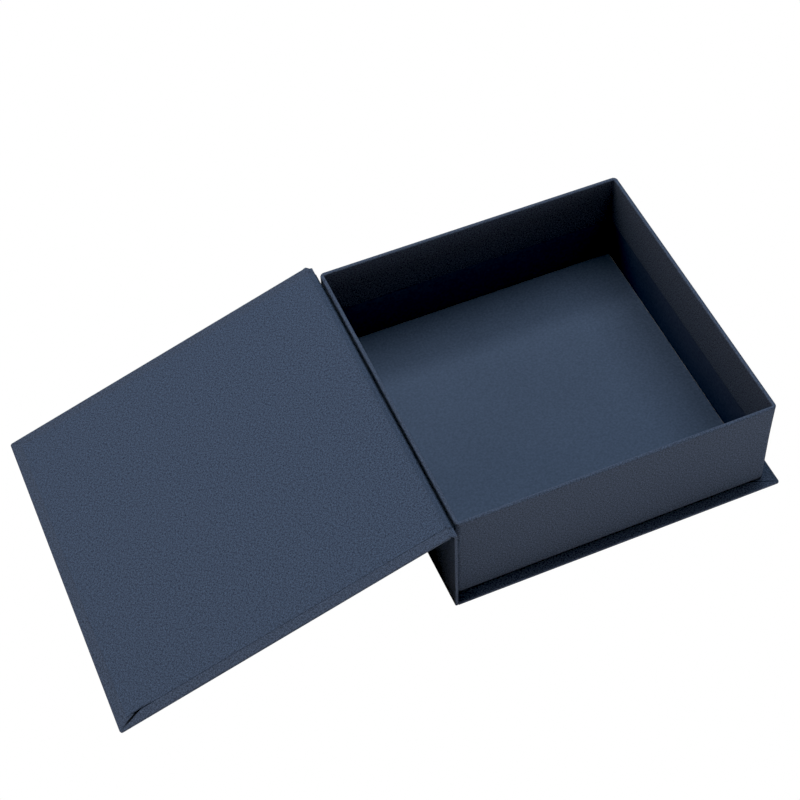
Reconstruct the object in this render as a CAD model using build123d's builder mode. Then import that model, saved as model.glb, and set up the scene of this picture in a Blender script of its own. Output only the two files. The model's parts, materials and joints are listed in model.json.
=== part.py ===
from build123d import *
import math
import os

# Clamshell presentation box covered in book cloth: an open tray is glued on a base board that
# reaches past it, a spine board stands against one wall of the tray, and the lid board hangs
# on the spine's top by a cloth hinge. The lid is modelled open, folded right over, with its
# fore-edge on the table.
# Millimetres. X runs from the spine to the fore-edge, Y along the spine, Z up. The origin is
# the middle of the closed box's footprint, on the table.

# ---- Driving dimensions -------------------------------------------------------------------
tray_width = 234.0         # outside the tray, from the spine to the fore-edge
tray_length = 234.0        # outside the tray, along the spine
tray_height = 79.5         # top of the base to the top of the rim
tray_board = 1.5           # greyboard of the tray's walls
floor_board = 1.0          # card of the tray's floor
case_board = 1.5           # greyboard of the base, the spine and the lid
cloth = 0.3                # book cloth
liner = 0.3                # lining cloth and paper
fore_edge_reach = 8.4      # base past the tray at the fore-edge
end_reach = 9.0            # base, spine and lid past the tray at each end
lid_length = 243.0         # fold at the lid to the lid's fore-edge
gutter = 3.5               # fold at the spine to the fold at the lid
gutter_rise = 42.0         # slope of the gutter when the box is closed, in degrees
fold_clearance = 0.45      # each fold to the end of the strip between them
lid_fold_clearance = 0.6   # fold at the lid to the lid's covered edge
lid_clearance = 0.3        # rim to the lined face of the closed lid
rim_turn_in = 40.0         # cloth inside the tray, down from the rim
case_turn_in = 15.0        # cloth turned over the edges of the case boards
tray_turn_under = 12.0     # cloth turned under the tray
lining_inset = 7.4         # lining back from the case's edges
tray_corner_radius = 2.6   # upright corners of the tray, in plan
cavity_corner_radius = 0.6 # inner corners of the tray's boards, in plan
rim_radius = 0.9           # both edges of the rim
case_corner_radius = 1.6   # corners of the base and of the lid, in plan
case_edge_radius = 0.7     # cloth bent round the edges of the case boards
spine_foot_radius = 1.6    # cloth bent round the foot of the spine

# ---- Levels and places that follow ----------------------------------------------------------
case_wall = cloth + case_board + cloth
spine_wall = case_wall + liner
lid_wall = case_wall + liner
tray_wall = cloth + tray_board + liner

case_length = tray_length + 2 * end_reach
case_depth = spine_wall + tray_width + fore_edge_reach
board_length = case_length - 2 * cloth
lining_length = case_length - 2 * lining_inset

spine_x = -case_depth / 2
tray_x = spine_x + spine_wall
tray_middle_x = tray_x + tray_width / 2
fore_edge_x = case_depth / 2

base_top = case_wall
wall_foot = base_top + cloth
rim_top = base_top + tray_height
wall_top = rim_top - cloth
floor_top = wall_foot + floor_board
turn_in_foot = rim_top - rim_turn_in

# The cloth folds along two lines, both between the cloth and the lining: one at the top of the
# spine's outer face, one at the edge of the lid. The gutter joins them.
spine_fold_x = spine_x + cloth
spine_fold_z = rim_top + lid_clearance + liner - gutter * math.sin(math.radians(gutter_rise))
spine_top = spine_fold_z - liner

# Angle of the open lid below the level: its rounded lower fore-edge just meets the table. The
# gutter turns half as far as the lid, so the fold at the lid depends a little on that angle.
lid_back = lid_wall - liner
edge_reach = lid_length - case_edge_radius
edge_depth = lid_back - case_edge_radius
lid_droop = 0
for _ in range(20):
    open_rise = math.pi / 2 - math.radians(gutter_rise) - lid_droop / 2
    lid_fold_z = spine_fold_z + gutter * math.sin(open_rise)
    edge_drop = (lid_fold_z - case_edge_radius) / math.hypot(edge_reach, edge_depth)
    lid_droop = math.asin(edge_drop) - math.atan2(edge_depth, edge_reach)
lid_fold_x = spine_fold_x - gutter * math.cos(open_rise)


def slope_plane(fold_x, fold_z, rise):
    """Plane that leaves a fold outwards at a slope: its x up the slope, its z out of the lining."""
    out = (-math.cos(rise), 0, math.sin(rise))
    up = (math.sin(rise), 0, math.cos(rise))
    return Plane(origin=(fold_x, 0, fold_z), x_dir=out, z_dir=up)


gutter_plane = slope_plane(spine_fold_x, spine_fold_z, open_rise)
lid_plane = slope_plane(lid_fold_x, lid_fold_z, -lid_droop)

print(f"each fold turns {90 + math.degrees(lid_droop) / 2:.4f} degrees")
print(f"fold at the spine: x {spine_fold_x:.4f}, z {spine_fold_z:.4f}")
print(f"fold at the lid: x {lid_fold_x:.4f}, z {lid_fold_z:.4f}")
print(f"cavity floor at z {floor_top + liner:.3f}")

os.makedirs("parts", exist_ok=True)


def write_piece(piece, name):
    """Name a finished piece and write it to its own file."""
    piece.label = name
    export_step(piece, f"parts/{name}.step")


def panel(plane, back, fore, width, corner):
    """Outline from x = back to x = fore, with its two fore corners rounded."""
    with BuildSketch(plane) as outline:
        with Locations(((back + fore) / 2, 0)):
            Rectangle(fore - back, width)
        fillet(outline.vertices().group_by(Axis.X)[-1], corner)
    return outline.sketch


def wrapped_edges(panel_part, plane, back):
    """Edges of a panel's two broad faces, without the ones at its back end."""
    broad_faces = panel_part.faces().filter_by(plane)
    return [e for e in broad_faces.edges() if plane.to_local_coords(e.center()).X > back + cloth]


def panel_board(plane, back, fore):
    """Greyboard of a case panel, whose covered outer face lies on the plane."""
    with BuildPart() as board:
        outline = panel(plane.offset(cloth), back, fore - cloth, board_length, case_corner_radius - cloth)
        extrude(outline, amount=case_board)
        fillet(wrapped_edges(board, plane, back), case_edge_radius - cloth)
    return board.part


def panel_cover(plane, back, fore, board):
    """Cloth over a case panel's outer face, round its three free edges and turned in."""
    with BuildPart() as cover:
        extrude(panel(plane, back, fore, case_length, case_corner_radius), amount=case_wall)
        fillet(wrapped_edges(cover, plane, back), case_edge_radius)
        add(board, mode=Mode.SUBTRACT)
        with BuildSketch(plane.offset(cloth + case_board)):
            with Locations(((back + fore - case_turn_in) / 2, 0)):
                Rectangle(fore - case_turn_in - back, case_length - 2 * case_turn_in)
        extrude(amount=cloth, mode=Mode.SUBTRACT)
    return cover.part


# ---- Base: greyboard in its cloth, under the tray ------------------------------------------------
base_plane = Plane.XY
base_back = spine_x + case_wall
base_board = panel_board(base_plane, base_back, fore_edge_x)
base_cover_cloth = panel_cover(base_plane, base_back, fore_edge_x, base_board)
write_piece(base_board, "base_board")
write_piece(base_cover_cloth, "base_cover_cloth")

# ---- Lid: greyboard in its cloth, with a lining on the inner face ---------------------------------
lid_outer_plane = lid_plane.offset(-lid_back)
lid_board = panel_board(lid_outer_plane, lid_fold_clearance + cloth, lid_length)
lid_cover_cloth = panel_cover(lid_outer_plane, lid_fold_clearance, lid_length, lid_board)
write_piece(lid_board, "lid_board")
write_piece(lid_cover_cloth, "lid_cover_cloth")

lid_lining_fore = lid_length - lining_inset
with BuildPart() as lid_liner:
    with BuildSketch(lid_plane):
        with Locations(((lid_fold_clearance + lid_lining_fore) / 2, 0)):
            Rectangle(lid_lining_fore - lid_fold_clearance, lining_length)
    extrude(amount=liner)
write_piece(lid_liner.part, "lid_liner")


# ---- Spine: greyboard in its cloth, glued against the tray --------------------------------------
def spine_profile(inner_x, outer_x, foot, radius):
    """Upright section of the spine with its outer foot rounded."""
    with BuildSketch(Plane.XZ) as section:
        with Locations(((inner_x + outer_x) / 2, (foot + spine_top) / 2)):
            Rectangle(inner_x - outer_x, spine_top - foot)
        fillet(section.vertices().sort_by(Axis.Y)[:2].sort_by(Axis.X)[0], radius)
    return section.sketch


def end_edges(upright):
    """Edges of the two end faces, without the ones at the top."""
    end_faces = upright.faces().filter_by(Axis.Y)
    return [e for e in end_faces.edges() if e.center().Z < spine_top - cloth]


spine_board_x = spine_x + cloth + case_board
with BuildPart() as spine_board:
    section = spine_profile(spine_board_x, spine_x + cloth, cloth, spine_foot_radius - cloth)
    extrude(section, amount=board_length / 2, both=True)
    fillet(end_edges(spine_board), case_edge_radius - cloth)
write_piece(spine_board.part, "spine_board")

with BuildPart() as spine_cover_cloth:
    section = spine_profile(spine_board_x + cloth, spine_x, 0, spine_foot_radius)
    extrude(section, amount=case_length / 2, both=True)
    fillet(end_edges(spine_cover_cloth), case_edge_radius)
    add(spine_board.part, mode=Mode.SUBTRACT)
    with BuildSketch(Plane.YZ.offset(spine_board_x)):
        with Locations((0, (cloth + spine_top) / 2)):
            Rectangle(case_length - 2 * case_turn_in, spine_top - cloth)
    extrude(amount=cloth, mode=Mode.SUBTRACT)
write_piece(spine_cover_cloth.part, "spine_cover_cloth")

with BuildPart() as spine_liner:
    with BuildSketch(Plane.YZ.offset(tray_x - liner)):
        with Locations((0, (base_top + spine_fold_z) / 2)):
            Rectangle(lining_length, spine_fold_z - base_top)
    extrude(amount=liner)
    with BuildSketch(Plane.XY.offset(spine_top)):
        with Locations(((spine_fold_x + tray_x) / 2, 0)):
            Rectangle(tray_x - spine_fold_x, lining_length)
    extrude(amount=liner)
write_piece(spine_liner.part, "spine_liner")


# ---- Hinge: cloth outside and lining inside, glued together across the gutter ------------------
def gutter_strip(foot, thickness, length):
    """Flat strip between the two folds, whose lower face is at a height over their plane."""
    with BuildPart() as strip:
        with BuildSketch(gutter_plane.offset(foot)):
            with Locations((gutter / 2, 0)):
                Rectangle(gutter - 2 * fold_clearance, length)
        extrude(amount=thickness)
    return strip.part


write_piece(gutter_strip(-cloth, cloth, case_length), "lid_hinge_cloth")
write_piece(gutter_strip(0, liner, lining_length), "lid_hinge_lining")

# ---- Tray: four mitred walls round a floor of card ------------------------------------------------
board_width = tray_width - 2 * cloth
board_side = tray_length - 2 * cloth
inner_width = board_width - 2 * tray_board
inner_length = board_side - 2 * tray_board
cavity_width = tray_width - 2 * tray_wall
cavity_length = tray_length - 2 * tray_wall
strip_foot = floor_top + liner


def ring(foot, top, outer, outer_radius, inner, inner_radius):
    """Upright wall all the way round the tray, between two outlines with rounded corners."""
    with BuildPart() as wall:
        with BuildSketch(Plane.XY.offset(foot)):
            with Locations((tray_middle_x, 0)):
                RectangleRounded(*outer, outer_radius)
                RectangleRounded(*inner, inner_radius, mode=Mode.SUBTRACT)
        extrude(amount=top - foot)
    return wall.part


def rim_edges(wall):
    """Both edges of a ring's top."""
    return wall.faces().sort_by(Axis.Z)[-1].edges()


def ring_side(whole, middle, half_across, turn):
    """One side of a ring, from mitre to mitre: the middle of its outer face, half its length
    and the direction that it faces."""
    side_plane = Plane(origin=(*middle, 0), x_dir=(-math.sin(turn), math.cos(turn), 0), z_dir=(0, 0, 1))
    depth = 2 * tray_wall
    with BuildPart() as side:
        add(whole)
        with BuildSketch(side_plane):
            Polygon(
                (-half_across, 0),
                (half_across, 0),
                (half_across - depth, depth),
                (depth - half_across, depth),
                align=None,
            )
        extrude(amount=rim_top, mode=Mode.INTERSECT)
    return side.part


with BuildPart() as wall_ring:
    add(
        ring(
            wall_foot,
            wall_top,
            (board_width, board_side),
            tray_corner_radius - cloth,
            (inner_width, inner_length),
            cavity_corner_radius,
        )
    )
    fillet(rim_edges(wall_ring), rim_radius - cloth)

lining_ring = ring(
    strip_foot,
    turn_in_foot,
    (inner_width, inner_length),
    cavity_corner_radius,
    (cavity_width, cavity_length),
    cavity_corner_radius - liner,
)

half_width = board_width / 2
half_side = board_side / 2
sides = {
    "fore_edge": ((tray_middle_x + half_width, 0), half_side, 0),
    "back": ((tray_middle_x, half_side), half_width, math.pi / 2),
    "spine": ((tray_middle_x - half_width, 0), half_side, math.pi),
    "front": ((tray_middle_x, -half_side), half_width, -math.pi / 2),
}
for name, place in sides.items():
    write_piece(ring_side(wall_ring.part, *place), f"tray_{name}_wall")
    write_piece(ring_side(lining_ring, *place), f"{name}_wall_liner")

for name, foot, thickness in (
    ("tray_floor_board", wall_foot, floor_board),
    ("tray_floor_liner", floor_top, liner),
):
    with BuildPart() as floor_sheet:
        with BuildSketch(Plane.XY.offset(foot)):
            with Locations((tray_middle_x, 0)):
                RectangleRounded(inner_width, inner_length, cavity_corner_radius)
        extrude(amount=thickness)
    write_piece(floor_sheet.part, name)

# ---- Tray cloth: one strip up the outside, over the rim and half way down the inside ------------
with BuildPart() as tray_cover_cloth:
    add(
        ring(
            base_top,
            rim_top,
            (tray_width, tray_length),
            tray_corner_radius,
            (cavity_width, cavity_length),
            cavity_corner_radius - liner,
        )
    )
    fillet(rim_edges(tray_cover_cloth), rim_radius)
    add(wall_ring.part, mode=Mode.SUBTRACT)
    with BuildSketch(Plane.XY.offset(wall_foot)):
        with Locations((tray_middle_x, 0)):
            RectangleRounded(inner_width, inner_length, cavity_corner_radius)
    extrude(amount=turn_in_foot - wall_foot, mode=Mode.SUBTRACT)
    with BuildSketch(Plane.XY.offset(base_top)):
        with Locations((tray_middle_x, 0)):
            Rectangle(inner_width, inner_length)
            Rectangle(
                tray_width - 2 * tray_turn_under, tray_length - 2 * tray_turn_under, mode=Mode.SUBTRACT
            )
    extrude(amount=cloth)
write_piece(tray_cover_cloth.part, "tray_cover_cloth")
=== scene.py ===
import bpy
import bmesh
import json
import math
import numpy as np
from mathutils import Matrix, Vector


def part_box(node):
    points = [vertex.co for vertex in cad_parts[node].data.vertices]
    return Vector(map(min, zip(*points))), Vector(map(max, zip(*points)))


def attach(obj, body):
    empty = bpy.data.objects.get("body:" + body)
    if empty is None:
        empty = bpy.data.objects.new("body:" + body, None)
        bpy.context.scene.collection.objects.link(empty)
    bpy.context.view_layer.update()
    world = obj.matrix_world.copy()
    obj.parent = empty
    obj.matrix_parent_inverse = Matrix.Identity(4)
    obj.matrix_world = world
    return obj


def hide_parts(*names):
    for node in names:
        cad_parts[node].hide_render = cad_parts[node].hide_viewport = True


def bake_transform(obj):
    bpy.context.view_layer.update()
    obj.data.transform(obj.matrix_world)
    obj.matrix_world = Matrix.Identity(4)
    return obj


# Clamshell presentation box in slate-blue book cloth, open: the tray stands on its base board
# and the lid lies folded right over beside it, its fore-edge on the table.
# Sizes are millimetres in the frame's own axes, and become metres where a mesh is made.

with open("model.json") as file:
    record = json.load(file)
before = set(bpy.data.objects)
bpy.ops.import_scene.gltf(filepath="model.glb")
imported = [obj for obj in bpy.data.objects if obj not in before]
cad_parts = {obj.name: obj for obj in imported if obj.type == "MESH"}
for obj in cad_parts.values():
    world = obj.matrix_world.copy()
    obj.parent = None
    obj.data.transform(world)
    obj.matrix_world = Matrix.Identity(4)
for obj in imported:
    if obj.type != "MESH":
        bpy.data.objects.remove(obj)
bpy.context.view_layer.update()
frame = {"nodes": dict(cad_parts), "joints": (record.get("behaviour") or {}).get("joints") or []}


# ---- Base ---------------------------------------------------------------------------------------
# Greyboard under the tray, covered in book cloth that is drawn round its three free edges and
# glued down inside as a 15 mm turn-in, with a mitre at each fore corner.
def span(node):
    """Lowest and highest corner of a frame node, in millimetres."""
    low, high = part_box(node)
    return np.array(low) * 1000, np.array(high) * 1000


def outline_loop(low, high, radius, inset, cut, corner_steps):
    """Rounded rectangle from low to high, walked anticlockwise, once for each inset, which is a
    pair: along the first direction and along the second. radius (corner, inset) sets each
    corner's centre in; its circle reaches out to the inset, or keeps the small radius of a cut
    corner, cut (corner, inset), once the inset is more. A corner's points are
    centre + (radius - inset + cut) * (cos a, sin a), with a in steps through its quarter turn.
    Returns the places (loop, inset, 2), the outward directions, and how near each point is to
    the middle of a cut corner, from 0 to 1."""
    towards = np.array([(1, -1), (1, 1), (-1, 1), (-1, -1)])
    corner = np.where(towards > 0, high, low)
    turn = np.linspace(0, np.pi / 2, corner_steps + 1)
    angle = np.radians([-90, 0, 90, 180])[:, None] + turn
    facing = np.stack([np.cos(angle), np.sin(angle)], -1)
    open_by = cut * (inset[:, 1] > radius)
    set_in = np.maximum(radius[..., None], inset) + open_by[..., None]
    centre = corner[:, None] - towards[:, None] * set_in
    left = np.maximum(radius - inset[:, 1], 0) + open_by
    arcs = centre[:, None] + left[:, None, :, None] * facing[:, :, None]
    share = np.linspace(0, 1, side_steps + 1)[1:-1][:, None, None]
    sides = arcs[:, -1:] * (1 - share) + np.roll(arcs[:, 0], -1, axis=0)[:, None] * share
    places = np.concatenate([arcs, sides], axis=1)
    outward = np.concatenate([facing, np.repeat(facing[:, -1:], side_steps - 1, axis=1)], axis=1)
    is_cut = cut.max(axis=1, keepdims=True) > 0
    fold = np.concatenate([np.sin(2 * turn), np.zeros(side_steps - 1)]) * is_cut
    count = 4 * (len(turn) + side_steps - 1)
    return places.reshape(count, -1, 2), outward.reshape(count, 2), fold.reshape(-1)


def edge_section(thickness, edge_radius, turn_in, reach):
    """Section of a covered board from the end of the turn-in, out to the edge, round it and in
    again over the outer face: how far in from the edge, and how high. Each bend is a quarter
    circle, inset = r * (1 - sin a) and height = top - r * (1 - cos a)."""
    bend = np.linspace(0, np.pi / 2, 7)
    flat_in = np.linspace(turn_in, edge_radius, 6)[:-1]
    flat_out = np.linspace(edge_radius, reach, 9)[1:]
    inset = np.concatenate(
        [flat_in, edge_radius * (1 - np.sin(bend)), edge_radius * (1 - np.cos(bend)), flat_out]
    )
    height = np.concatenate(
        [
            np.full(len(flat_in), thickness),
            thickness - edge_radius * (1 - np.cos(bend)),
            edge_radius * (1 - np.sin(bend)),
            np.zeros(len(flat_out)),
        ]
    )
    return inset, height


def sheet_mesh(name, grids):
    """One mesh of several grids of points, in millimetres, with the map "threads" that tells
    where each point lies in the uncut cloth, and the attribute "fold": 1 on a rounded edge that is
    paled, partly worn and partly a painted highlight, -1 where a crease or gap is darkened with painted
    shade."""
    places, cloth_map, folds, faces, start = [], [], [], [], 0
    for points, threads, fold in grids:
        rows, columns = points.shape[:2]
        number = start + np.arange(rows * columns).reshape(rows, columns)
        quads = np.stack([number[:-1, :-1], number[:-1, 1:], number[1:, 1:], number[1:, :-1]], -1)
        places.append(points.reshape(-1, 3))
        cloth_map.append(threads.reshape(-1, 2))
        folds.append(np.broadcast_to(fold, (rows, columns)).ravel())
        faces.append(quads.reshape(-1, 4))
        start += rows * columns
    places, cloth_map = np.concatenate(places), np.concatenate(cloth_map)
    faces = np.concatenate(faces)
    mesh = bpy.data.meshes.new(name)
    mesh.from_pydata(places * 0.001, [], faces.tolist())
    mesh.uv_layers.new(name="threads").uv.foreach_set("vector", cloth_map[faces.ravel()].ravel())
    mesh.attributes.new("fold", "FLOAT", "POINT").data.foreach_set("value", np.concatenate(folds))
    shell = bmesh.new()
    shell.from_mesh(mesh)
    bmesh.ops.remove_doubles(shell, verts=shell.verts, dist=merge_distance)
    shell.to_mesh(mesh)
    shell.free()
    mesh.shade_smooth()
    mesh.set_sharp_from_angle(angle=math.radians(sharp_angle))
    piece = bpy.data.objects.new(name, mesh)
    bpy.context.scene.collection.objects.link(piece)
    return piece


def thicken(piece, thickness):
    """Gives a sheet its thickness in millimetres, inwards from the face that was laid out. The
    wide faces then decide the shading, so that a flat sheet stays even up to its cut edge."""
    wall = piece.modifiers.new("thickness", "SOLIDIFY")
    wall.thickness = thickness * 0.001
    wall.offset = -1
    shading = piece.modifiers.new("shading", "WEIGHTED_NORMAL")
    shading.keep_sharp = True


def covered_panel(name, low, high, corner_radii, mitre_gaps, origin, axes):
    """Cloth round a case board: edge_section carried along outline_loop, closed over the outer
    face. On the turned-in part each corner keeps its mitre gap as a sunk groove, and the mitre
    runs 1 across to mitre_slant along. origin and axes place the outline's directions and the
    height."""
    low, high = np.array(low, float), np.array(high, float)
    inset, height = edge_section(case_thickness, case_edge_radius, case_turn_in, (high - low).min() / 2)
    upper = height > case_thickness / 2
    turned = upper & (inset > case_edge_radius)
    slanted = np.where(turned, case_edge_radius + mitre_slant * (inset - case_edge_radius), inset)
    insets = np.stack([slanted, inset], -1)
    radii = np.repeat(np.array(corner_radii, float)[:, None], len(inset), axis=1)
    gaps = np.array(mitre_gaps, float)
    cuts = gaps[:, None] * turned
    places, outward, fold = outline_loop(low, high, radii, insets, cuts, case_corner_steps)
    deep = mitre_shallow + mitre_depth * np.repeat(gaps, len(fold) // 4)
    sunk = turned & (inset > case_edge_radius + mitre_start)
    level = height - (deep * fold)[:, None] * sunk
    beyond = height + np.where(upper, 2 * (np.abs(outward) @ insets.T), 0)
    threads = places + outward[:, None] * beyond[..., None]
    axes = np.array(axes, float)
    points = np.array(origin, float) + places @ axes[:2] + level[..., None] * axes[2]
    # Rounded edges are paled, partly as wear and partly as a painted highlight; the sunk mitre groove
    # is darkened with painted shade (open_shade).
    wear_highlight_and_shade = (inset < 0.99 * case_edge_radius) * 1.0
    painted_mitre_shade = open_shade * np.clip(mitre_spread * fold, 0, 1)[:, None]
    wear_highlight_and_shade = np.where(sunk, painted_mitre_shade, wear_highlight_and_shade)
    points, threads, wear_highlight_and_shade = (np.concatenate([grid, grid[:1]]) for grid in (points, threads, wear_highlight_and_shade))
    return sheet_mesh(name, [(points, threads, wear_highlight_and_shade)])


def add_node(tree, kind, inputs, **settings):
    """Adds a shader node; an input is a plain value or another node's output."""
    made = tree.nodes.new(kind)
    for name, value in settings.items():
        setattr(made, name, value)
    for socket, value in inputs.items():
        if isinstance(value, bpy.types.NodeSocket):
            tree.links.new(value, made.inputs[socket])
        else:
            made.inputs[socket].default_value = value
    return made.outputs


def calculate(tree, operation, *values):
    """One sum of the shader: the named operation on plain values or outputs."""
    return add_node(tree, "ShaderNodeMath", dict(enumerate(values)), operation=operation)[0]


def book_cloth_finish(name, colour, pitches, roughness, wear_and_highlight_strength):
    """Plain-woven cotton, laid out on the map "threads" in millimetres. Crossings rise as
    |sin(pi u / warp_pitch) * sin(pi v / weft_pitch)|**0.6; long thin noise across each direction
    makes thick and thin threads, and the attribute "fold" pales a rounded edge, partly worn and
    partly a painted highlight, or darkens a crease or gap with painted shade."""
    warp_pitch, weft_pitch = pitches
    finish = bpy.data.materials.new(name)
    finish.use_nodes = True
    tree = finish.node_tree
    shader = tree.nodes["Principled BSDF"]
    threads = add_node(tree, "ShaderNodeUVMap", {}, uv_map="threads")[0]
    place = add_node(tree, "ShaderNodeSeparateXYZ", {0: threads})
    warp = calculate(tree, "SINE", calculate(tree, "MULTIPLY", place[0], math.pi / warp_pitch))
    weft = calculate(tree, "SINE", calculate(tree, "MULTIPLY", place[1], math.pi / weft_pitch))
    over = calculate(tree, "MULTIPLY", warp, weft)
    crossing = calculate(tree, "POWER", calculate(tree, "ABSOLUTE", over), 0.6)
    streaks = []
    for across in ((0.8 / warp_pitch, 0.6, 0), (0.65, 0.8 / weft_pitch, 0)):
        stretched = add_node(tree, "ShaderNodeMapping", {"Vector": threads, "Scale": across})[0]
        noise = {"Vector": stretched, "Scale": 1.0, "Detail": 1.0, "Roughness": 0.5}
        streaks.append(add_node(tree, "ShaderNodeTexNoise", noise, noise_dimensions="2D")[0])
    uneven = calculate(tree, "ADD", streaks[0], streaks[1])
    speck = {"Vector": threads, "Scale": 1.2, "Detail": 1.0, "Roughness": 0.7}
    specks = add_node(tree, "ShaderNodeTexNoise", speck, noise_dimensions="2D")[0]
    shade = calculate(tree, "MULTIPLY_ADD", uneven, 1.5, -2.0)
    shade = calculate(tree, "MULTIPLY_ADD", specks, 2.0, shade)
    shade = calculate(tree, "MULTIPLY_ADD", over, 0.55, shade)
    dark = [0.55 * channel for channel in colour] + [1]
    light = [1.45 * channel for channel in colour] + [1]
    tint = add_node(tree, "ShaderNodeMix", {0: shade, 6: dark, 7: light}, data_type="RGBA")[2]
    reddish = [1.06 * colour[0], 0.97 * colour[1], colour[2], 1]
    greenish = [0.94 * colour[0], 1.03 * colour[1], colour[2], 1]
    hue = add_node(tree, "ShaderNodeMix", {0: streaks[0], 6: reddish, 7: greenish}, data_type="RGBA")[2]
    ratio = {0: 1.0, 6: hue, 7: [*colour, 1]}
    hue = add_node(tree, "ShaderNodeMix", ratio, data_type="RGBA", blend_type="DIVIDE")[2]
    shift = {0: 1.0, 6: tint, 7: hue}
    tint = add_node(tree, "ShaderNodeMix", shift, data_type="RGBA", blend_type="MULTIPLY")[2]
    # The attribute "fold" pales rounded edges, partly as wear and partly as a painted highlight, and
    # darkens creases and gaps with painted shade.
    fold = add_node(tree, "ShaderNodeAttribute", {}, attribute_name="fold")[2]
    wear_and_highlight = calculate(tree, "MULTIPLY", fold, wear_and_highlight_strength)
    pale = [1.8 * channel + 0.01 for channel in colour] + [1]
    tint = add_node(tree, "ShaderNodeMix", {0: wear_and_highlight, 6: tint, 7: pale}, data_type="RGBA")[2]
    # Painted shade: where "fold" is -1 the colour is darkened towards 0.12 of itself.
    painted_crease_shade = [0.12 * channel for channel in colour] + [1]
    crease = calculate(tree, "MULTIPLY", fold, -0.9)
    tint = add_node(tree, "ShaderNodeMix", {0: crease, 6: tint, 7: painted_crease_shade}, data_type="RGBA")[2]
    relief = calculate(tree, "MULTIPLY_ADD", uneven, 0.5, crossing)
    bump = add_node(tree, "ShaderNodeBump", {"Height": relief, "Strength": 0.5, "Distance": 0.00008})[0]
    tree.links.new(tint, shader.inputs["Base Color"])
    tree.links.new(bump, shader.inputs["Normal"])
    shader.inputs["Roughness"].default_value = roughness
    shader.inputs["Specular IOR Level"].default_value = 0.12
    shader.inputs["Sheen Weight"].default_value = 0.05
    shader.inputs["Sheen Roughness"].default_value = 0.5
    shader.inputs["Sheen Tint"].default_value = (0.75, 0.85, 1.0, 1.0)
    return finish


def greyboard_finish():
    """Pressed grey pulp with darker specks, for the boards inside the cloth."""
    finish = bpy.data.materials.new("greyboard")
    finish.use_nodes = True
    tree = finish.node_tree
    shader = tree.nodes["Principled BSDF"]
    place = add_node(tree, "ShaderNodeTexCoord", {})["Object"]
    pulp = add_node(tree, "ShaderNodeTexNoise", {"Vector": place, "Scale": 900.0, "Detail": 4.0})[0]
    ramp = {0: pulp, 6: (0.2, 0.19, 0.17, 1), 7: (0.42, 0.4, 0.36, 1)}
    tint = add_node(tree, "ShaderNodeMix", ramp, data_type="RGBA")[2]
    bump = add_node(tree, "ShaderNodeBump", {"Height": pulp, "Strength": 0.4, "Distance": 0.0001})[0]
    tree.links.new(tint, shader.inputs["Base Color"])
    tree.links.new(bump, shader.inputs["Normal"])
    shader.inputs["Roughness"].default_value = 0.95
    return finish


def finish_piece(piece, finish, stands_for):
    """Gives a new piece its material and hides the frame's nodes that it stands for."""
    piece.data.materials.append(finish)
    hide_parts(*stands_for)


merge_distance = 2e-6
sharp_angle = 50
side_steps = 40
case_corner_steps = 6
mitre_start = 0.5
mitre_shallow = 0.1
mitre_depth = 0.1
mitre_slant = 2.4
mitre_spread = 2.5
open_shade = -1.1
cloth_thickness = 0.28
case_turn_in = 15.0
case_edge_radius = 0.7
case_corner_radius = 1.6
hidden_corner_radius = 0.3
case_corners = (case_corner_radius, case_corner_radius, hidden_corner_radius, hidden_corner_radius)
base_mitre_gaps = (0.4, 0.4, 0, 0)
slate_blue = (0.0475, 0.066, 0.107)
case_pitches = (0.52, 0.56)
case_roughness = 0.86
case_wear_and_highlight = 0.12

base_low, base_high = span("base_cover_cloth")
case_thickness = base_high[2] - base_low[2]
book_cloth = book_cloth_finish("book_cloth", slate_blue, case_pitches, case_roughness, case_wear_and_highlight)
base_cloth = covered_panel(
    "base_cloth",
    base_low[:2],
    base_high[:2],
    case_corners,
    base_mitre_gaps,
    (0, 0, 0),
    ((1, 0, 0), (0, 1, 0), (0, 0, 1)),
)
thicken(base_cloth, cloth_thickness)
finish_piece(base_cloth, book_cloth, ["base_cover_cloth"])
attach(base_cloth, "box")

greyboard = greyboard_finish()
board_nodes = [name for name in frame["nodes"] if name.endswith("board")]
for node in board_nodes:
    frame["nodes"][node].data.materials.clear()
    frame["nodes"][node].data.materials.append(greyboard)


# ---- Spine --------------------------------------------------------------------------------------
# A board as tall as the tray, standing against it. The same cloth comes up from the base, round
# the spine's foot and up its outer face; a strip of lining shows where it reaches past the tray.
foot_corner_radius = 1.2
spine_low, spine_high = span("spine_cover_cloth")
spine_cloth = covered_panel(
    "spine_cloth",
    spine_low[1:],
    spine_high[1:],
    (foot_corner_radius, hidden_corner_radius, hidden_corner_radius, foot_corner_radius),
    (0, 0, 0, 0),
    (spine_low[0], 0, 0),
    ((0, 1, 0), (0, 0, 1), (1, 0, 0)),
)
thicken(spine_cloth, cloth_thickness)
finish_piece(spine_cloth, book_cloth, ["spine_cover_cloth"])
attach(spine_cloth, "box")


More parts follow.
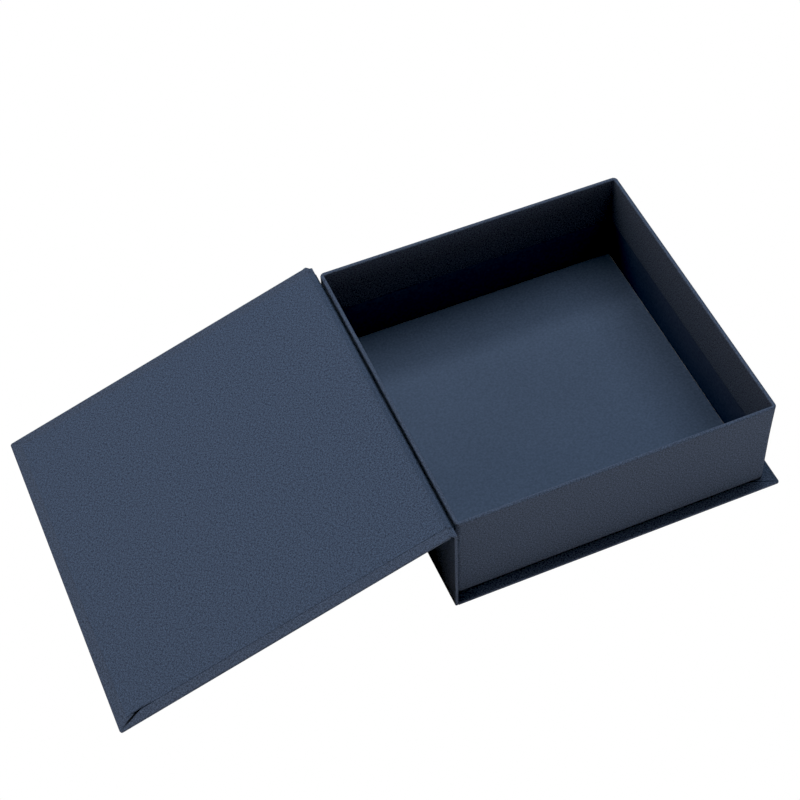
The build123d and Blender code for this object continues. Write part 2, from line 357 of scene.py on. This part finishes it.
def lining_sheet(name, low, high, origin, axes, edge_radius):
    """A flat sheet whose edges are bent down by a quarter circle of the radius r: a grid over the
    sheet, whose outermost lines lie r * (1 - sin a) in from the edge and r * (1 - cos a) down."""
    low, high = np.array(low, float), np.array(high, float)
    bend = np.linspace(0, np.pi / 2, 5)
    curve = edge_radius * (1 - np.sin(bend[::-1]))
    drop = edge_radius * (1 - np.cos(bend[::-1]))
    middle = np.concatenate([[edge_share], np.linspace(0, 1, side_steps)[1:-1], [1 - edge_share]])
    lines, falls = [], []
    for side in (0, 1):
        size = high[side] - low[side]
        inner = edge_radius + middle * (size - 2 * edge_radius)
        lines.append(low[side] + np.concatenate([curve, inner, size - curve[::-1]]))
        falls.append(np.concatenate([drop, np.zeros(len(middle)), drop[::-1]]))
    first, second = np.meshgrid(*lines, indexing="ij")
    fall = np.maximum(falls[0][:, None], falls[1][None])
    axes = np.array(axes, float)
    places = first[..., None] * axes[0] + second[..., None] * axes[1]
    points = np.array(origin, float) + places - fall[..., None] * axes[2]
    # The bent edges are paled, partly as wear and partly as a painted highlight on the lining's step.
    edge = (fall > 0) * liner_wear_and_highlight
    threads = np.stack([first, second], -1)
    return sheet_mesh(name, [(points[:, ::-1], threads[:, ::-1], edge[:, ::-1])])


edge_share = 0.006
liner_wear_and_highlight = 0.6
liner_thickness = 0.28
liner_edge = 0.24
liner_top_gap = 0.1
liner_gap = 0.01
tray_low, tray_high = span("tray_cover_cloth")
spine_liner_low, spine_liner_high = span("spine_liner")
lining_blue = (0.046, 0.067, 0.112)
lining_pitches = (0.50, 0.54)
lining_roughness = 0.88
lining_wear_and_highlight = 0.15
lining_cloth = book_cloth_finish(
    "lining_cloth", lining_blue, lining_pitches, lining_roughness, lining_wear_and_highlight
)
spine_lining = lining_sheet(
    "spine_lining",
    (spine_liner_low[1], spine_liner_low[2]),
    (spine_liner_high[1], spine_liner_high[2] - liner_top_gap),
    (tray_low[0] - liner_gap, 0, 0),
    ((0, 1, 0), (0, 0, 1), (1, 0, 0)),
    liner_edge,
)
thicken(spine_lining, liner_thickness)
finish_piece(spine_lining, lining_cloth, ["spine_liner"])
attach(spine_lining, "box")


# ---- Tray ---------------------------------------------------------------------------------------
# Four walls of greyboard round a card floor. One strip of cloth is glued up the outside, over
# the rim and about 40 mm down the inside; below it smooth paper lines the walls and the floor.
def wall_section(height, foot_radius, rim_radius, wall, turn_in, turn_under):
    """Section of the covered wall from the cloth's end inside, up and over the rim, down the
    outside and round the foot to under the tray: inset, height and distance along the cloth.
    Each bend is a quarter circle of its radius r, r * (1 - cos a) one way and r * (1 - sin a)
    the other."""
    bend = np.linspace(0, np.pi / 2, 7)
    cut_edge = height - turn_in
    inner = np.append(cut_edge, np.linspace(cut_edge + edge_row, height - rim_radius, 7)[:-1])
    outer = np.linspace(height - rim_radius, foot_radius + foot_row, 11)[1:]
    inset = np.concatenate(
        [
            np.full(len(inner), wall),
            wall - rim_radius * (1 - np.cos(bend)),
            rim_radius * (1 - np.sin(bend)),
            np.zeros(len(outer)),
            foot_radius * (1 - np.cos(bend)),
            [turn_under],
        ]
    )
    level = np.concatenate(
        [
            inner,
            height - rim_radius * (1 - np.sin(bend)),
            height - rim_radius * (1 - np.cos(bend)),
            outer,
            foot_radius * (1 - np.sin(bend)),
            [0],
        ]
    )
    along = np.concatenate([[0], np.cumsum(np.hypot(np.diff(inset), np.diff(level)))])
    return inset, level, along


def bow_front(points):
    """The free edge of the front wall stands out a little: its shift along Y is
    front_bow * risen**1.5, where risen is 0 at bow_start and 1 at the rim. It fades out along
    the walls beside it, from bow_inner + bow_fade to bow_inner off the middle."""
    risen = np.clip((points[..., 2] - tray_low[2] - bow_start) / (tray_height - bow_start), 0, 1)
    at_front = np.clip((-points[..., 1] - bow_inner) / bow_fade, 0, 1)
    shift = np.zeros(points.shape)
    shift[..., 1] = -front_bow * risen**1.5 * at_front
    return points + shift


def reshape(piece, move):
    """Moves a piece's points by a rule that takes and gives their places in millimetres, and
    returns where they were."""
    places = np.zeros(len(piece.data.vertices) * 3)
    piece.data.vertices.foreach_get("co", places)
    places = places.reshape(-1, 3) * 1000
    piece.data.vertices.foreach_set("co", (move(places) * 0.001).ravel())
    return places


front_bow = 1.2
bow_start = 42.0
bow_inner = 95.0
bow_fade = 18.0
tray_wall = 2.8
tray_corner_steps = 8
tray_corner_radius = 3.6
inner_corner_radius = 0.5
rim_radius = 1.1
rim_turn_in = 41.2
edge_row = 0.3
foot_row = 1.0
spine_slot = 1.5
front_shift = 1.3
tray_low = tray_low + np.array([spine_slot, -front_shift, 0])
tray_height = tray_high[2] - tray_low[2]
foot_radius = 1.3
foot_shade = 0.7
turn_under = 12.0
inset, level, along = wall_section(
    tray_height, foot_radius, rim_radius, tray_wall, rim_turn_in, turn_under
)
corner_inset = np.minimum(inset, tray_wall)
narrowing = (tray_corner_radius - inner_corner_radius) / tray_wall
corner_centre = tray_corner_radius + corner_inset * (1 - narrowing)
tray_loop, tray_outward, _ = outline_loop(
    tray_low[:2],
    tray_high[:2],
    np.broadcast_to(corner_centre, (4, len(inset))),
    np.repeat(corner_inset[:, None], 2, axis=1),
    np.zeros((4, len(inset))),
    tray_corner_steps,
)
under = (inset > tray_wall)[None, :, None]
turned_under = tray_loop - tray_outward[:, None] * (turn_under - tray_wall)
tray_loop = np.where(under, turned_under, tray_loop)
heights = np.broadcast_to((tray_low[2] + level)[None, :, None], (*tray_loop.shape[:2], 1))
tray_points = np.concatenate([tray_loop, heights], -1)
outer_face = tray_loop[:, np.argmin(inset)]
steps = np.hypot(*np.diff(np.concatenate([outer_face, outer_face[:1]]), axis=0).T)
round_tray = np.concatenate([[0], np.cumsum(steps)])
tray_threads = np.stack(np.broadcast_arrays(round_tray[:, None], along[None]), -1)
tray_points = bow_front(np.concatenate([tray_points, tray_points[:1]]))
# The rim's inner top is paled, partly as wear and partly as a painted highlight.
rim_wear_and_highlight = np.where((level > tray_height - rim_radius) & (inset > 0.4 * tray_wall), 1.0, 0)
# Painted shadow: the foot of the wall is darkened fully up to 1 mm above the base and fading out by 2
# mm.
painted_foot_shadow = np.clip(foot_radius + foot_shade - level, 0, 1) * (inset < tray_wall)
tray_cloth = sheet_mesh("tray_cloth", [(tray_points, tray_threads, (rim_wear_and_highlight - painted_foot_shadow)[None])])
thicken(tray_cloth, cloth_thickness)
finish_piece(tray_cloth, book_cloth, ["tray_cover_cloth"])
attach(tray_cloth, "box")


def lining_paper_finish(name, colour):
    """Smooth coated paper: a fine fibre mottle and a broad cloud in its colour, and a soft low
    gloss."""
    finish = bpy.data.materials.new(name)
    finish.use_nodes = True
    tree = finish.node_tree
    shader = tree.nodes["Principled BSDF"]
    place = add_node(tree, "ShaderNodeTexCoord", {})["Object"]
    fibre = add_node(tree, "ShaderNodeTexNoise", {"Vector": place, "Scale": 600.0, "Detail": 3.0})[0]
    cloud = add_node(tree, "ShaderNodeTexNoise", {"Vector": place, "Scale": 14.0, "Detail": 2.0})[0]
    shade = calculate(tree, "MULTIPLY_ADD", cloud, 0.4, calculate(tree, "MULTIPLY", fibre, 1.6))
    shade = calculate(tree, "SUBTRACT", shade, 0.5)
    dark = [0.80 * channel for channel in colour] + [1]
    light = [1.20 * channel for channel in colour] + [1]
    tint = add_node(tree, "ShaderNodeMix", {0: shade, 6: dark, 7: light}, data_type="RGBA")[2]
    bump = add_node(tree, "ShaderNodeBump", {"Height": fibre, "Strength": 0.25, "Distance": 0.00004})[0]
    tree.links.new(tint, shader.inputs["Base Color"])
    tree.links.new(bump, shader.inputs["Normal"])
    shader.inputs["Roughness"].default_value = 0.8
    shader.inputs["Specular IOR Level"].default_value = 0.08
    return finish


floor_blue = (0.053, 0.075, 0.119)
# The walls' paper is the floor's paper, painted darker for the shade on the walls.
shaded_wall_blue = (0.045, 0.064, 0.110)
floor_paper = lining_paper_finish("floor_paper", floor_blue)
wall_paper = lining_paper_finish("wall_paper", shaded_wall_blue)
cavity_low = tray_low + np.array([tray_wall, tray_wall, 0])
cavity_high = tray_high - np.array([tray_wall, tray_wall, 0])
floor_level = span("tray_floor_liner")[1][2]
strip_low, strip_high = span("front_wall_liner")
half_wide = (cavity_high[0] - cavity_low[0]) / 2
half_long = (cavity_high[1] - cavity_low[1]) / 2
middle_x = (cavity_high[0] + cavity_low[0]) / 2
middle_y = (cavity_high[1] + cavity_low[1]) / 2
strip_setback = 0.06
strip_thickness = 0.2
strip_rise = 0.03
corner_overlap = 0.02
board_setback = 0.75
board_gap = 0.02
board_edge = 0.1
board_thickness = tray_wall - 2 * cloth_thickness - 0.05
for side, middle, half, inward in (
    ("front", (middle_x, cavity_low[1]), half_wide, (0, 1, 0)),
    ("fore_edge", (cavity_high[0], middle_y), half_long, (-1, 0, 0)),
    ("back", (middle_x, cavity_high[1]), half_wide, (0, -1, 0)),
    ("spine", (cavity_low[0], middle_y), half_long, (1, 0, 0)),
):
    inward = np.array(inward, float)
    sideways = np.cross((0, 0, 1), inward)
    strip = lining_sheet(
        f"{side}_wall_lining",
        (-half - corner_overlap, strip_low[2]),
        (half + corner_overlap, strip_high[2] + strip_rise),
        np.array([*middle, 0.0]) - strip_setback * inward,
        (sideways, (0, 0, 1), inward),
        strip_setback,
    )
    thicken(strip, strip_thickness)
    finish_piece(strip, wall_paper, [f"{side}_wall_liner"])
    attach(strip, "box")
    board = lining_sheet(
        f"{side}_wall_board",
        (-half, tray_low[2] + board_setback),
        (half, tray_high[2] - board_setback),
        np.array([*middle, 0.0]) - (cloth_thickness + board_gap) * inward,
        (sideways, (0, 0, 1), inward),
        board_edge,
    )
    if side == "front":
        reshape(board, bow_front)
    thicken(board, board_thickness)
    finish_piece(board, greyboard, [f"tray_{side}_wall"])
    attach(board, "box")

floor_gap = 0.02
floor_edge = 0.15
floor_lining = lining_sheet(
    "floor_lining",
    cavity_low[:2] + floor_gap,
    cavity_high[:2] - floor_gap,
    (0, 0, floor_level),
    ((1, 0, 0), (0, 1, 0), (0, 0, 1)),
    floor_edge,
)
thicken(floor_lining, liner_thickness)
finish_piece(floor_lining, floor_paper, ["tray_floor_liner"])
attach(floor_lining, "box")


# ---- Lid ----------------------------------------------------------------------------------------
# The same covered board as the base, open right over, so that its inner face shows: a lining,
# pasted 7.4 mm back from the edges of the turned-in cloth. At the near fore corner the mitre
# stands open, and so does the lining's edge beside it; both are darkened with painted shade.
folds = {joint["name"]: joint for joint in frame["joints"]}
spine_fold = np.array(folds["spine_fold"]["pos_m"]) * 1000
lid_fold = np.array(folds["lid_fold"]["pos_m"]) * 1000
full_turn = folds["spine_fold"]["range_deg"][1] + folds["lid_fold"]["range_deg"][1]
lid_droop = math.radians(full_turn - 180)
lid_out = np.array([-math.cos(lid_droop), 0, -math.sin(lid_droop)])
lid_up = np.array([-math.sin(lid_droop), 0, math.cos(lid_droop)])
lid_axes = (lid_out, (0, -1, 0), lid_up)
lid_start = 0.6
lid_reach = 243.0
half_case = base_high[1]
lid_mitre_gaps = (0.08, 1.5, 0, 0)
lid_cloth = covered_panel(
    "lid_cloth",
    (lid_start, -half_case),
    (lid_reach, half_case),
    case_corners,
    lid_mitre_gaps,
    lid_fold - case_thickness * lid_up,
    lid_axes,
)
thicken(lid_cloth, cloth_thickness)
finish_piece(lid_cloth, book_cloth, ["lid_cover_cloth"])
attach(lid_cloth, "lid")

lining_inset = 7.4
lining_top = 0.3
lid_lining = lining_sheet(
    "lid_lining",
    (lid_start, -half_case + lining_inset),
    (lid_reach - lining_inset, half_case - lining_inset),
    lid_fold + lining_top * lid_up,
    lid_axes,
    liner_edge,
)


def corner_lift(points):
    """How far up the lining's front edge stands beside the open mitre, from 0 to 1: along the
    lid it comes up over 16 mm and ends at the mitre, and across the lid it fades within 1 mm."""
    run_out = (points - lid_fold) @ lid_out
    near_edge = np.clip(1 + lifted_to - points[..., 1], 0, 1)
    return near_edge * np.interp(run_out, lift_run, (0, 1, 0))


def lift_edge(points):
    """Raises the lining's points by their share of the lift."""
    return points + edge_lift * corner_lift(points)[:, None] * lid_up


edge_lift = 0.25
lift_run = (212, 228, 231)
lifted_to = 0.3 - half_case + lining_inset
lifted = corner_lift(reshape(lid_lining, lift_edge))
# Where the edge is lifted, the lining takes painted shade instead of its paled edge, deepest at the top
# of the lift.
fold_values = lid_lining.data.attributes["fold"].data
edge_fold = np.zeros(len(lifted))
fold_values.foreach_get("value", edge_fold)
fold_values.foreach_set("value", np.where(lifted > 0, open_shade * lifted, edge_fold))
thicken(lid_lining, liner_thickness)
finish_piece(lid_lining, lining_cloth, ["lid_liner"])
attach(lid_lining, "lid")


# ---- Hinge --------------------------------------------------------------------------------------
# Cloth outside and lining inside, glued together with no board between, cross from the spine's
# top to the lid. They fold along two lines, and each half of them bends at its own line.
def rounded_path(corners, radii, steps):
    """Line through the corners in the XZ plane, with each inner corner turned by an arc of its
    radius, which touches both runs. From its first to its last radius p and q, t in 0 to 1, it is
    centre + (sin((1 - t) w) p + sin(t w) q) / sin(w), where w is the angle between them."""
    corners = np.array(corners, float)
    path = [corners[:1]]
    for before, corner, after, radius in zip(corners[:-2], corners[1:-1], corners[2:], radii):
        back = (before - corner) / np.linalg.norm(before - corner)
        on = (after - corner) / np.linalg.norm(after - corner)
        half_angle = math.acos(np.clip(back @ on, -1, 1)) / 2
        tangent = radius / math.tan(half_angle)
        bisector = (back + on) / np.linalg.norm(back + on)
        centre = corner + bisector * radius / math.sin(half_angle)
        first = corner + back * tangent - centre
        last = corner + on * tangent - centre
        share = np.linspace(0, 1, steps)[:, None]
        sweep = math.pi - 2 * half_angle
        arc = np.sin((1 - share) * sweep) * first + np.sin(share * sweep) * last
        path.append(centre + arc / math.sin(sweep))
    path.append(corners[-1:])
    return np.concatenate(path)


def upright(path, across):
    """Carries a path in the XZ plane along Y: the same path at each place across."""
    points = np.zeros((len(path), len(across), 3))
    points[..., 0] = path[:, :1]
    points[..., 1] = across
    points[..., 2] = path[:, 1:]
    return points


gutter_run = lid_fold - spine_fold
gutter_out = gutter_run / np.linalg.norm(gutter_run)
x_and_z = [0, 2]
spine_point, lid_point = spine_fold[x_and_z], lid_fold[x_and_z]
gutter_along = gutter_out[x_and_z]
gutter_normal = np.array([gutter_along[1], -gutter_along[0]])
lid_along, lid_normal = lid_out[x_and_z], lid_up[x_and_z]
mid_gutter = (spine_point + lid_point) / 2


def meet(point, direction, other, other_direction):
    """Where two lines of the XZ plane cross."""
    share = np.linalg.solve(np.stack([direction, -other_direction], 1), other - point)
    return point + share[0] * direction


skin = 0.3
overlap = 1.3
lap = 0.04
spine_lap = 1.5
top_lap = 0.02
outer_start = mid_gutter - skin * gutter_normal
outer_line = spine_point - skin * gutter_normal
spine_corner = meet(outer_line, gutter_along, np.array([spine_low[0], 0.0]), np.array([0.0, 1.0]))
lid_crease = meet(outer_line, gutter_along, lid_point - skin * lid_normal, lid_along)
lid_back = lid_point + lid_start * lid_along
spine_top = spine_high[2] + top_lap
cloth_runs = {
    "spine": (
        [(spine_low[0], spine_high[2] - spine_lap), spine_corner, outer_start],
        [(spine_low[0] + case_thickness, spine_top), (spine_point[0] + 0.1, spine_top), mid_gutter],
    ),
    "lid": (
        [outer_start, lid_crease, lid_back - skin * lid_normal + overlap * lid_along],
        [mid_gutter, lid_point, lid_back + lap * lid_normal + overlap * lid_along],
    ),
}
lining_line = spine_point + lining_top * gutter_normal
flange_gap = 0.05
flange_top = spine_liner_high[2] + flange_gap
flange_end = tray_low[0] - spine_slot - top_lap
valley = meet(lining_line, gutter_along, np.array([0.0, flange_top]), np.array([1.0, 0.0]))
ridge = meet(lining_line, gutter_along, lid_point + lining_top * lid_normal, lid_along)
lining_middle = mid_gutter + lining_top * gutter_normal
lining_runs = {
    "spine": [(flange_end, flange_top), valley, lining_middle],
    "lid": [lining_middle, ridge, lid_back + lining_top * lid_normal],
}
fold_spread = 0.45
spine_bend, lid_bend = fold_spread * gutter_out, fold_spread * lid_out
hinge_joins = {
    "spine": ("box", "hinge", spine_fold - spine_bend, spine_fold + spine_bend),
    "lid": ("hinge", "lid", lid_fold - lid_bend, lid_fold + lid_bend),
}
outer_radii = {"spine": 0.4, "lid": 0.4}
inner_radii = {"spine": 0.35, "lid": 0.5}
lining_radii = {"spine": 0.4, "lid": 0.7}
bend_steps = 9
across_steps = 60
end_radius = 0.5
half_lining = half_case - lining_inset
band_end = half_lining - 1
hinge_cloth_thickness = 0.12
hinge_lining_thickness = 0.22
groove_shade_from = 0.9
groove_shade_over = 0.6
for half, (body, next_body, bend_start, bend_end) in hinge_joins.items():
    outer = rounded_path(cloth_runs[half][0], [outer_radii[half]], bend_steps)
    inner = rounded_path(cloth_runs[half][1], [inner_radii[half]], bend_steps)
    reach = (outer - inner) / 2
    swing = np.linspace(-np.pi / 2, np.pi / 2, bend_steps)
    flat_end = half_case - end_radius
    flat_part = np.linspace(-flat_end, flat_end, across_steps)[1:-1]
    near_end = -flat_end - end_radius * np.cos(swing)
    far_end = flat_end + end_radius * np.cos(swing)
    across = np.concatenate([[-band_end], near_end, flat_part, far_end, [band_end]])
    flat_lift = np.ones(len(flat_part))
    lift = np.concatenate([[-1], np.sin(swing), flat_lift, np.sin(swing[::-1]), [-1]])
    points = upright((outer + inner) / 2, across)
    points[..., 0] += reach[:, :1] * lift
    points[..., 2] += reach[:, 1:] * lift
    run = np.concatenate([[0], np.cumsum(np.hypot(*np.diff(outer, axis=0).T))])
    threads = np.stack(np.broadcast_arrays(run[:, None], across[None]), -1)
    grid = (points[:, ::-1], threads[:, ::-1], np.zeros((1, 1)))
    hinge_cloth = sheet_mesh(f"hinge_cloth_{half}_side", [grid])
    thicken(hinge_cloth, hinge_cloth_thickness)
    finish_piece(hinge_cloth, book_cloth, ["lid_hinge_cloth"])
    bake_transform(hinge_cloth)

    path = rounded_path(lining_runs[half], [lining_radii[half]], bend_steps)
    across = np.linspace(-half_lining, half_lining, across_steps)
    run = np.concatenate([[0], np.cumsum(np.hypot(*np.diff(path, axis=0).T))])
    threads = np.stack(np.broadcast_arrays(run[:, None], across[None]), -1)
    # Painted shade: the lining is darkened within 0.9 mm of its end at the tray, rising over 0.6 mm, in
    # the groove beside the rim.
    groove_shade = np.clip((path[:, :1] - tray_low[0] + spine_slot + groove_shade_from) / groove_shade_over, 0, 1)
    grid = (upright(path, across), threads, -groove_shade)
    hinge_lining = sheet_mesh(f"hinge_lining_{half}_side", [grid])
    thicken(hinge_lining, hinge_lining_thickness)
    finish_piece(hinge_lining, lining_cloth, ["lid_hinge_lining"])
    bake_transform(hinge_lining)


# ---- Table, light and camera --------------------------------------------------------------------
# A white sweep under three large softboxes at the ceiling, above and behind the box, with weak
# low fills in front and at the left. The long lens looks down from the front left.
bpy.ops.mesh.primitive_plane_add(size=12)
table = bpy.context.object
table.name = "table"
table.location.z = -0.0003
white = bpy.data.materials.new("white_table")
white.use_nodes = True
tree = white.node_tree
shader = tree.nodes["Principled BSDF"]
shader.inputs["Base Color"].default_value = (0.9, 0.9, 0.9, 1)
shader.inputs["Roughness"].default_value = 1
glow = add_node(tree, "ShaderNodeEmission", {"Color": (1, 1, 1, 1), "Strength": 1.0})[0]
seen = add_node(tree, "ShaderNodeLightPath", {})["Is Camera Ray"]
mixed = add_node(tree, "ShaderNodeMixShader", {0: seen, 1: shader.outputs[0], 2: glow})[0]
tree.links.new(mixed, tree.nodes["Material Output"].inputs["Surface"])
table.data.materials.append(white)

world = bpy.data.worlds.new("studio")
world.use_nodes = True
world.node_tree.nodes["Background"].inputs["Strength"].default_value = 0.0
bpy.context.scene.world = world


def softbox(name, place, target, width, height, power, colour):
    """Rectangular area light at a place, turned to face the target."""
    lamp = bpy.data.lights.new(name, "AREA")
    lamp.shape = "RECTANGLE"
    lamp.size, lamp.size_y = width, height
    lamp.energy = power
    lamp.color = colour
    light = bpy.data.objects.new(name, lamp)
    light.location = place
    light.rotation_euler = (Vector(target) - Vector(place)).to_track_quat("-Z", "Y").to_euler()
    bpy.context.scene.collection.objects.link(light)


white_light = (1.0, 1.0, 1.0)
cool_light = (0.90, 1.0, 1.08)
warm_light = (1.25, 1.0, 0.82)
softbox("ceiling_left", (-0.5, 0.725, 2.4), (-0.5, 0.725, 0), 0.6, 2.05, 36, white_light)
softbox("ceiling_right", (0.95, 0.725, 2.4), (0.95, 0.725, 0), 1.3, 2.05, 32, cool_light)
softbox("ceiling_back", (0.4, 1.5, 2.4), (0.4, 1.5, 0), 2.4, 0.5, 18.5, white_light)
softbox("front_bounce", (0.0, -1.9, 1.2), (0, 0, 0), 1.0, 1.0, 6.5, warm_light)
softbox("low_front", (0.5, -2.0, 0.35), (0, 0, 0.04), 2.2, 0.5, 4.7, warm_light)
softbox("low_left", (-2.0, 0.4, 0.5), (0, 0, 0.06), 2.0, 0.7, 12.3, warm_light)
softbox("table_edge", (0.3, -1.4, 0.1), (0, 0, 0.04), 1.8, 0.16, 3.6, white_light)

lens_pixels = 1945.07
picture_side = 800
optical_centre = (457.64, 415.12)
camera_place = Vector((-0.39619, -0.76852, 1.08578))
azimuth, elevation, roll = 0.4072, 0.9011, -0.0147
level_part = math.cos(elevation)
looking = Vector(
    (math.sin(azimuth) * level_part, math.cos(azimuth) * level_part, -math.sin(elevation))
)
level_right = looking.cross(Vector((0, 0, 1))).normalized()
level_up = level_right.cross(looking)
camera_right = level_right * math.cos(roll) + level_up * math.sin(roll)
camera_up = level_up * math.cos(roll) - level_right * math.sin(roll)
camera = bpy.data.objects.new("camera", bpy.data.cameras.new("camera"))
camera.data.sensor_width = 36
camera.data.lens = lens_pixels / picture_side * camera.data.sensor_width
camera.data.shift_x = (picture_side / 2 - optical_centre[0]) / picture_side
camera.data.shift_y = (optical_centre[1] - picture_side / 2) / picture_side
turned = Matrix((camera_right, camera_up, -looking)).transposed()
camera.matrix_world = Matrix.Translation(camera_place) @ turned.to_4x4()
bpy.context.scene.collection.objects.link(camera)
bpy.context.scene.camera = camera
view = bpy.context.scene.view_settings
view.view_transform = "Standard"
view.use_curve_mapping = True
view.curve_mapping.black_level = (0.0095, 0.0105, 0.0140)
view.curve_mapping.update()
